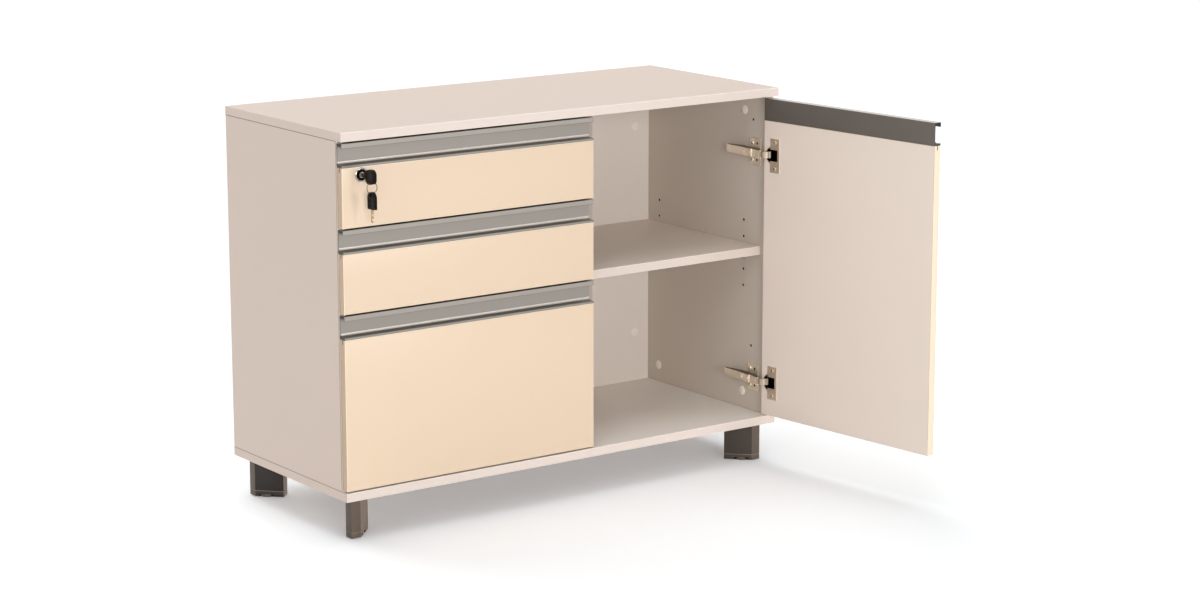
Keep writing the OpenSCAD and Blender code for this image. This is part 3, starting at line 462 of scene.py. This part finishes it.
def panel(node, face_axis, inner=None, inner_paint=board_inner_painted_light, edge_paint=board_edge, joined=(), glint=True):
    """A board with its faces across face_axis, of which the one towards inner has its own paint, with the
    light and shade inside the cabinet painted into it.

    Its rounded edges have a painted highlight at the front, and painted shade where a board is joined.
    """
    lo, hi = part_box(node)

    def choose(face):
        centre = face.calc_center_median()
        if all(lo[a] + BORE_MARGIN < centre[a] < hi[a] - BORE_MARGIN for a in range(3)):
            return core
        if max(abs(part) for part in face.normal) < FLAT:
            if face.normal.y < -TOWARDS:
                return board_glint if glint else board_joint_shade
            return board_joint_shade if any(face.normal.dot(side) > TOWARDS for side in joined) else board
        if abs(face.normal[face_axis]) < ALONG:
            return edge_paint if abs(face.normal.x) < ALONG else board
        return inner_paint if inner is not None and face.normal.dot(inner) > ALONG else board

    shape = copy_of(node)
    ease(shape, BOARD_ROUNDING, longer=BOARD_EDGES)
    shape.normal_update()
    paints = [board, edge_paint, core, board_glint, inner_paint, board_joint_shade]
    paint_faces(shape, paints, choose)
    finish_piece(node + "_board", shape, paints, node, sharp=25)


panel("top_panel", 2, -Z, joined=[-Z])
panel("bottom_panel", 2, Z, board_floor_painted_light, joined=[Z])
panel("left_side_panel", 0, joined=[Z, -Z], glint=False)
panel("right_side_panel", 0, -X, board_shaded, joined=[Z, -Z])
panel("centre_partition", 0, X, edge_paint=edge_shaded, glint=False)
panel("back_panel", 1, -Y)
panel("shelf", 2, Z, board_shelf_painted_light, edge_shelf_shade)

# Fronts and door
FRONT_ROUNDING = 0.8 * MM
FRONT_EDGE = 0.1
DOOR_OUT = Vector((0.9945, 0.1045, 0))


# Painted highlight on a front's rounded edges towards out, and painted shade on those towards the gap.
def front_board(node, out, inner, side, gap):
    """A cream board with a greige inner face; out points away from the cabinet."""

    def choose(face):
        along = face.normal.dot(out)
        if along > FLAT:
            return front
        if along < -ALONG:
            return inner
        if abs(along) > FRONT_EDGE:
            return front_glint if along > 0 else gap
        return side

    shape = copy_of(node)
    ease(shape, FRONT_ROUNDING, longer=BOARD_EDGES, segments=3)
    shape.normal_update()
    paints = [front, side, inner, front_glint, gap]
    paint_faces(shape, paints, choose)
    finish_piece(node + "_finished", shape, paints, node, sharp=25)


for place in ("top", "middle", "bottom"):
    front_board(place + "_drawer_front", -Y, board, front_side_shade, front_gap_shade)
# The door's inner face has painted light, and its edges a painted highlight.
front_board("door_board", DOOR_OUT, door_inner_painted_light, front_glint, front_side_shade)

# Grip profiles: heights over the board's top edge, and depths behind the profile's front
GRIP_ROUNDING = 0.6 * MM
FIN_DEPTH = 8 * MM
FIN_PLAY = 0.5 * MM
WEB_START = 10.5 * MM
LIP_START = 20 * MM
HEAD_START = 30 * MM
LIP_DEPTH = 0.4 * MM
PROFILE_PAINTS = [profile, profile_lip_light, profile_cove_highlight, profile_hollow, profile_back_shade, profile_shade_line]


def grip(node, out):
    """An extruded grip profile, whose faces have painted highlights and painted shade by their height and
    depth.
    """
    shape = copy_of(node)
    ease(shape, GRIP_ROUNDING, longer=BOARD_EDGES, angle=60)
    shape.normal_update()
    front_plane = max(v.co.dot(out) for v in shape.verts)
    board_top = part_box(node)[0].z + FIN_DEPTH

    # Painted highlights on the cove and the top, painted light on the lip, and painted shade under the lip,
    # at the ends and at the back.
    def choose(face):
        centre = face.calc_center_median()
        depth = front_plane - centre.dot(out)
        height = centre.z - board_top
        if height > HEAD_START and face.normal.z < -0.2:
            return profile_shade_line
        if abs(face.normal.dot(out.cross(Z))) > ALONG:
            return profile_shade_line
        if face.normal.dot(out) < -0.3 or height < -FIN_PLAY:
            return profile_back_shade
        if height > HEAD_START and face.normal.z > ALONG:
            return profile_cove_highlight
        if depth < LIP_DEPTH and height > LIP_START:
            return profile_lip_light
        if height > WEB_START or depth < LIP_DEPTH:
            return profile
        return profile_hollow if face.normal.z > 0.7 else profile_cove_highlight

    paint_faces(shape, PROFILE_PAINTS, choose)
    finish_piece(node + "_finished", shape, PROFILE_PAINTS, node, sharp=20)


for place in ("top", "middle", "bottom"):
    grip(place + "_drawer_profile", -Y)
grip("door_profile", DOOR_OUT)


# Fittings
def refined(node, width=0.2 * MM, longer=1 * MM, paints=None, choose=None):
    """A CAD node with its sharp edges rounded; choose returns the paint of a face."""
    shape = copy_of(node)
    ease(shape, width, longer)
    shape.normal_update()
    if choose:
        paint_faces(shape, paints, choose)
    finish_piece(node + "_finished", shape, paints or [slot_paint[slot_of[node]]], node)


def islands(shape):
    """The vertices of each separate solid in a shape."""
    left = set(shape.verts)
    groups = []
    while left:
        stack = [left.pop()]
        group = []
        while stack:
            vert = stack.pop()
            group.append(vert)
            for edge in vert.link_edges:
                other = edge.other_vert(vert)
                if other in left:
                    left.remove(other)
                    stack.append(other)
        groups.append(group)
    return groups


def turned(outline, foot, axis, steps):
    """A shape of its own: an outline of radius and height, turned about an axis."""
    shape = bmesh.new()
    side = axis.orthogonal().normalized()
    chain = [shape.verts.new(foot + side * radius + axis * height) for radius, height in outline]
    edges = [shape.edges.new(pair) for pair in zip(chain, chain[1:])]
    bmesh.ops.spin(
        shape,
        geom=chain + edges,
        cent=foot,
        axis=axis,
        angle=2 * math.pi,
        steps=steps,
        use_merge=True,
    )
    bmesh.ops.remove_doubles(shape, verts=shape.verts, dist=SEAM_REACH)
    return shape


# Index of the recess's material in a screw, which paints the shade in the recess
RECESS = 1


def cross_recess(shape, centre, axis, reach, half, depth):
    """Closes a turned head with a flat face that has a cross-shaped recess."""
    ring = [edge for edge in shape.edges if edge.is_boundary]
    side = axis.orthogonal().normalized()
    corners = []
    for quarter in range(4):
        turn = Matrix.Rotation(math.pi / 2 * quarter, 3, axis)
        for along, across in ((reach, -half), (reach, half), (half, half)):
            offset = side * along + axis.cross(side) * across
            corners.append(shape.verts.new(centre + turn @ offset))
    cross = [shape.edges.new(pair) for pair in zip(corners, corners[1:] + corners[:1])]
    walls = bmesh.ops.extrude_edge_only(shape, edges=cross)["geom"]
    lower = [part for part in walls if isinstance(part, bmesh.types.BMVert)]
    bmesh.ops.translate(shape, vec=-axis * depth, verts=lower)
    rim = [edge for edge in {e for vert in lower for e in vert.link_edges} if edge.is_boundary]
    base = bmesh.ops.edgeloop_fill(shape, edges=rim)["faces"]
    for face in base + [part for part in walls if isinstance(part, bmesh.types.BMFace)]:
        face.material_index = RECESS
    bmesh.ops.triangle_fill(shape, edges=ring + cross, use_beauty=True, normal=axis)


def join(shape, other):
    """Adds another shape to a shape."""
    mesh = bpy.data.meshes.new("joined")
    other.to_mesh(mesh)
    other.free()
    shape.from_mesh(mesh)
    bpy.data.meshes.remove(mesh)


# A screw's point, and its head's outline in shares of the head's radius and height
POINT_RADIUS = 0.6
POINT_LENGTH = 0.7 * MM
PAN_HEAD = [(1, 0), (1, 0.35), (0.95, 0.65), (0.82, 0.9), (0.62, 1)]
HEAD_TOP = 0.02 * MM


def screws(node, out, head_height, shank_radius, steps=40, split=None, paint=None):
    """Pan-head screws with a cross recess at the places of the CAD's; out points out of the head.

    Screws whose X is beyond split point the other way.
    """
    plain = copy_of(node)
    shape = bmesh.new()
    centres = []
    for group in islands(plain):
        axis = out if split is None or group[0].co.x < split else -out
        top = max(v.co.dot(axis) for v in group)
        length = top - min(v.co.dot(axis) for v in group)
        rim = [v.co for v in group if v.co.dot(axis) > top - HEAD_TOP]
        centre = sum(rim, Vector()) / len(rim)
        radius = max((place - centre).length for place in rim)
        seat = length - head_height
        shank = [(0, 0), (POINT_RADIUS * shank_radius, 0), (shank_radius, POINT_LENGTH), (shank_radius, seat)]
        head = [(across * radius, seat + up * head_height) for across, up in PAN_HEAD]
        screw = turned(shank + head, centre - axis * length, axis, steps)
        cross_recess(screw, centre, axis, reach=0.5 * radius, half=0.13 * radius, depth=0.6 * head_height)
        join(shape, screw)
        centres.append(centre)
    plain.free()
    bmesh.ops.recalc_face_normals(shape, faces=shape.faces)
    paints = [paint or slot_paint[slot_of[node]], dark_metal_and_shade]
    finish_piece(node + "_finished", shape, paints, node, sharp=28)
    return centres


# Hinges
PLATE_MARGIN = 2 * MM
CUP_DEPTH = 2 * MM
plate_lo, plate_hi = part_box("hinge_plates")
cup_front = max(v.co.dot(-DOOR_OUT) for v in nodes["hinge_cups"].data.vertices)


def plate_paint(face):
    """Painted shade: the walls of a plate's holes are dark."""
    centre = face.calc_center_median()
    edge = min(centre.y - plate_lo.y, plate_hi.y - centre.y)
    in_hole = abs(face.normal.x) < 0.5 and edge > PLATE_MARGIN and abs(face.normal.z) < 0.98
    return dark_metal_and_shade if in_hole else nickel


# Painted shade on the arms' upper faces.
def arm_paint(face):
    return shaded_nickel if face.normal.z > 0.7 else nickel


def cup_paint(face):
    """Painted shade inside the cup, and a painted highlight on the flange's edge."""
    outward = face.normal.dot(-DOOR_OUT)
    if cup_front - face.calc_center_median().dot(-DOOR_OUT) > CUP_DEPTH:
        return dark_metal_and_shade if outward > -0.5 else nickel
    if outward > ALONG:
        return flange_nickel
    return flange_glint if face.normal.y < -0.3 else nickel


plate_places = screws("hinge_plate_screws", -X, head_height=1.8 * MM, shank_radius=2.4 * MM)
screws("hinge_cup_screws", -DOOR_OUT, head_height=1.5 * MM, shank_radius=1.75 * MM, paint=flange_nickel)
refined("hinge_plates", 0.3 * MM, 3 * MM, [nickel, dark_metal_and_shade], plate_paint)
refined("hinge_arms", 0.25 * MM, 2 * MM, [nickel, shaded_nickel], arm_paint)
refined("hinge_links", 0.2 * MM, 2 * MM, [link_nickel])

# Painted shade: dark discs at the bottom of the hinge plates' empty holes, beside their screws
HOLE_OFFSET = -14 * MM
HOLE_RADIUS = 2.45 * MM
HOLE_DEPTH = 0.1 * MM
hole_shades = bmesh.new()
for place in plate_places:
    hole = Vector((plate_hi.x - HOLE_DEPTH, place.y + HOLE_OFFSET, place.z))
    bmesh.ops.create_cone(
        hole_shades,
        cap_ends=True,
        segments=24,
        radius1=HOLE_RADIUS,
        radius2=HOLE_RADIUS,
        depth=HOLE_DEPTH,
        matrix=Matrix.Translation(hole) @ Matrix.Rotation(math.pi / 2, 4, "Y"),
    )
finish_piece("hinge_plate_hole_shades", hole_shades, [dark_metal_and_shade], body="cabinet")
cup_paints = [nickel, dark_metal_and_shade, flange_nickel, flange_glint]
refined("hinge_cups", 0.3 * MM, 2 * MM, cup_paints, cup_paint)

# Corner joints and shelf
refined("cam_caps")
refined("shelf_supports")

# Feet
FOOT_SEAM = 2 * MM
# Painted shade and light by the way a foot's face looks
FOOT_FACINGS = [
    (foot_left_shade, Vector((-1, 0, 0))),
    (foot_slant_shade, Vector((-0.7071, -0.7071, 0))),
    (foot_right_light, Vector((0.7071, -0.7071, 0))),
]
FOOT_PAINTS = [foot, foot_left_shade, foot_slant_shade, foot_right_light, foot_joint_shade, foot_cap_highlight, foot_rear_shade]
feet_lo, feet_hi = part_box("feet")
feet_middle = (feet_lo + feet_hi) / 2
seam_height = feet_hi.z - FOOT_SEAM


def foot_paint(face):
    """A foot's tone differs by the way a face looks, as painted light and shade; the joint under the cabinet
    has painted shade.
    """
    centre = face.calc_center_median()
    if centre.z > seam_height:
        return foot_joint_shade
    for paint, facing in FOOT_FACINGS:
        if face.normal.dot(facing) > FLAT:
            at_rear_left = centre.x < feet_middle.x and centre.y > feet_middle.y
            return foot_rear_shade if paint == foot_slant_shade and at_rear_left else paint
    return foot


def foot_cap_paint(face):
    """As on the foot, with a painted highlight on the cap's upper edge."""
    return foot_cap_highlight if 0.3 < face.normal.z < 0.95 else foot_paint(face)


feet_shape = copy_of("feet")
bmesh.ops.bisect_plane(
    feet_shape,
    geom=feet_shape.verts[:] + feet_shape.edges[:] + feet_shape.faces[:],
    plane_co=(0, 0, seam_height),
    plane_no=(0, 0, 1),
)
ease(feet_shape, 0.5 * MM, longer=5 * MM)
feet_shape.normal_update()
paint_faces(feet_shape, FOOT_PAINTS, foot_paint)
finish_piece("feet_finished", feet_shape, FOOT_PAINTS, "feet")
refined("foot_caps", 0.7 * MM, 5 * MM, FOOT_PAINTS, foot_cap_paint)
screws("foot_screws", -Z, head_height=2.5 * MM, shank_radius=2 * MM)

# Levelling wheels, and dark blocks in the corners of the notches that the wheels stand in, which paint the
# shade there
WEB_SIZE = Vector((5, 1.5, 4.9)) * MM
WEB_PLACE = Vector((12, 12.25)) * MM
caps_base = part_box("foot_caps")[0].z
shade_webs = bmesh.new()
for place in ("front_left", "front_right", "rear_left", "rear_right"):
    refined("leveller_" + place)
    lo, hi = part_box("leveller_" + place)
    wheel = (lo + hi) / 2
    wheel.z = caps_base + WEB_SIZE.z / 2
    away = wheel - feet_middle
    turn = math.atan2(math.copysign(1, away.y), math.copysign(1, away.x))
    stand = Matrix.Translation(wheel) @ Matrix.Rotation(turn, 4, "Z")
    for along, across in ((-1, -1), (-1, 1), (1, -1), (1, 1)):
        corner = Matrix.Translation((along * WEB_PLACE.x, across * WEB_PLACE.y, 0))
        size = Matrix.Diagonal((*WEB_SIZE, 1))
        bmesh.ops.create_cube(shade_webs, size=1, matrix=stand @ corner @ size)
ease(shade_webs, 0.3 * MM)
finish_piece("foot_cap_shade_webs", shade_webs, [foot_joint_shade], body="cabinet")

# Lock, whose rosette is turned from radii and heights in millimetres
ROSETTE = [
    (8.6, 0), (12.5, 0), (12.5, 0.5), (12.3, 1.1), (11.8, 1.6), (11, 1.95),
    (10, 2), (9.2, 1.9), (8.75, 1.6), (8.6, 1.2), (8.6, 0),
]
ROSETTE_BORE = 9.7 * MM
fronts_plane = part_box("top_drawer_front")[0].y
lo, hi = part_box("lock_rosette")
lock_place = Vector(((lo.x + hi.x) / 2, fronts_plane, (lo.z + hi.z) / 2))


def rosette_paint(face):
    """Painted shade: the rosette is dark towards its bore."""
    distance = (face.calc_center_median() - lock_place).xz.length
    return dark_metal_and_shade if distance < ROSETTE_BORE else chrome


def plug_paint(face):
    """Painted shade: the walls of the keyway are dark."""
    return dark_metal_and_shade if max(abs(face.normal.x), abs(face.normal.z)) > 0.95 else chrome


rosette = turned([(radius * MM, height * MM) for radius, height in ROSETTE], lock_place, -Y, 64)
bmesh.ops.recalc_face_normals(rosette, faces=rosette.faces)
paint_faces(rosette, [chrome, dark_metal_and_shade], rosette_paint)
finish_piece("lock_rosette_ring", rosette, [chrome, dark_metal_and_shade], "lock_rosette", sharp=60)
refined("lock_housing", 0.4 * MM, 0.1 * MM, [dark_metal_and_shade])
# The key ring has nickel with painted shade.
refined("key_ring", 0.1 * MM, 10 * MM, [shaded_nickel])
refined("lock_plug", 0.2 * MM, 1 * MM, [chrome, dark_metal_and_shade], plug_paint)
refined("lock_cam")
refined("lock_bar", 0.3 * MM)
refined("lock_bar_fork", 0.3 * MM)
refined("lock_bar_pegs", 0.3 * MM, 0.1 * MM)
refined("lock_bar_guides")

# Keys, with the index of the material on the edges of a head, which paints a highlight there
HEAD_EDGE = 1
HEAD_DISTANCE = 15.5 * MM
BLADE_LENGTH = 23.05 * MM
head_plane = fronts_plane - HEAD_DISTANCE
blade_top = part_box("spare_key")[0].z + BLADE_LENGTH


def split(shape, test):
    """Moves the faces that pass a test to a shape of their own, and closes both."""
    other = shape.copy()
    for piece, wanted in ((shape, False), (other, True)):
        gone = [face for face in piece.faces if test(face) != wanted]
        bmesh.ops.delete(piece, geom=gone, context="FACES")
        bmesh.ops.holes_fill(piece, edges=[edge for edge in piece.edges if edge.is_boundary])
    return other


def key_pieces(node, rounding, in_blade):
    """A key's moulded head and its metal blade."""
    head = copy_of(node)
    metal = split(head, in_blade)
    ease(head, rounding, longer=0.3 * MM, segments=3, paint=HEAD_EDGE)
    finish_piece(node + "_head", head, [black, black_edge_glint], node)
    ease(metal, 0.15 * MM, longer=1 * MM)
    finish_piece(node + "_blade", metal, [blade], node)


key_pieces("key", 0.6 * MM, lambda face: min(v.co.y for v in face.verts) > head_plane)
key_pieces("spare_key", 0.5 * MM, lambda face: max(v.co.z for v in face.verts) < blade_top)

# Drawer boxes and runners
RUNNERS_MIDDLE = -0.2
for place in ("top", "middle", "bottom"):
    refined(place + "_drawer_box", 0.4 * MM, 5 * MM)
    for member in ("outer", "middle", "inner"):
        refined(place + "_runner_" + member, 0.25 * MM, 5 * MM)
refined("file_rails", 0.4 * MM, 5 * MM)
screws("runner_screws", X, head_height=1.5 * MM, shank_radius=2.4 * MM, steps=24, split=RUNNERS_MIDDLE)


# Studio
# Degrees to the right of the front and above the floor, strength and width
SUNS = {
    "front": (-20, 5, 0.5, 20),
    "front_right": (20, 8, 0.13, 12),
    "left": (-75, 10, 0.16, 40),
    "upper_left": (-48, 38, 0.14, 30),
    "overhead": (0, 88, 0.41, 50),
    "rear": (180, 50, 0.42, 50),
}
AMBIENT = 0.05
FLOOR_TONE = (0.905, 0.925, 0.945)
FLOOR_LIFT = 0.205
FLOOR_SIZE = 40
WHITE = (1, 1, 1)

for name, (turn, height, strength, width) in SUNS.items():
    turn, height = math.radians(turn), math.radians(height)
    source = Vector(
        (math.sin(turn) * math.cos(height), -math.cos(turn) * math.cos(height), math.sin(height))
    )
    sun_data = bpy.data.lights.new(name, "SUN")
    sun_data.energy = strength * math.pi
    sun_data.angle = math.radians(width)
    sun = bpy.data.objects.new(name, sun_data)
    sun.rotation_euler = source.to_track_quat("Z", "Y").to_euler()
    bpy.context.scene.collection.objects.link(sun)


class Stage(Paint):
    """A node tree of the studio, with the rays that see the white background."""

    def __init__(self, tree):
        self.tree = tree

    def seen(self):
        path = self.tree.nodes.new("ShaderNodeLightPath")
        names = ("Is Camera Ray", "Is Glossy Ray", "Is Transmission Ray")
        camera_ray, glossy_ray, transmission_ray = (Wire(self, path.outputs[name]) for name in names)
        others = glossy_ray.math("MAXIMUM", glossy_ray, transmission_ray)
        return camera_ray.math("MAXIMUM", camera_ray, others)


world = bpy.data.worlds.new("studio")
world.use_nodes = True
bpy.context.scene.world = world
air = Stage(world.node_tree)
background = world.node_tree.nodes["Background"]
air.put(background.inputs["Color"], WHITE)
air.put(background.inputs["Strength"], AMBIENT + (1 - AMBIENT) * air.seen())

floor_shape = bmesh.new()
bmesh.ops.create_grid(floor_shape, x_segments=1, y_segments=1, size=FLOOR_SIZE)
floor_mesh = bpy.data.meshes.new("floor")
floor_shape.to_mesh(floor_mesh)
floor_shape.free()
floor = bpy.data.objects.new("floor", floor_mesh)
bpy.context.scene.collection.objects.link(floor)
floor_paint = Paint("floor", Base_Color=FLOOR_TONE, Roughness=0.9, Specular_IOR_Level=0.0)
floor_paint.set("Emission Color", WHITE)
floor_paint.set("Emission Strength", FLOOR_LIFT * Stage(floor_paint.tree).seen())
floor_mesh.materials.append(floor_paint.material)

bpy.context.scene.view_settings.view_transform = "Standard"
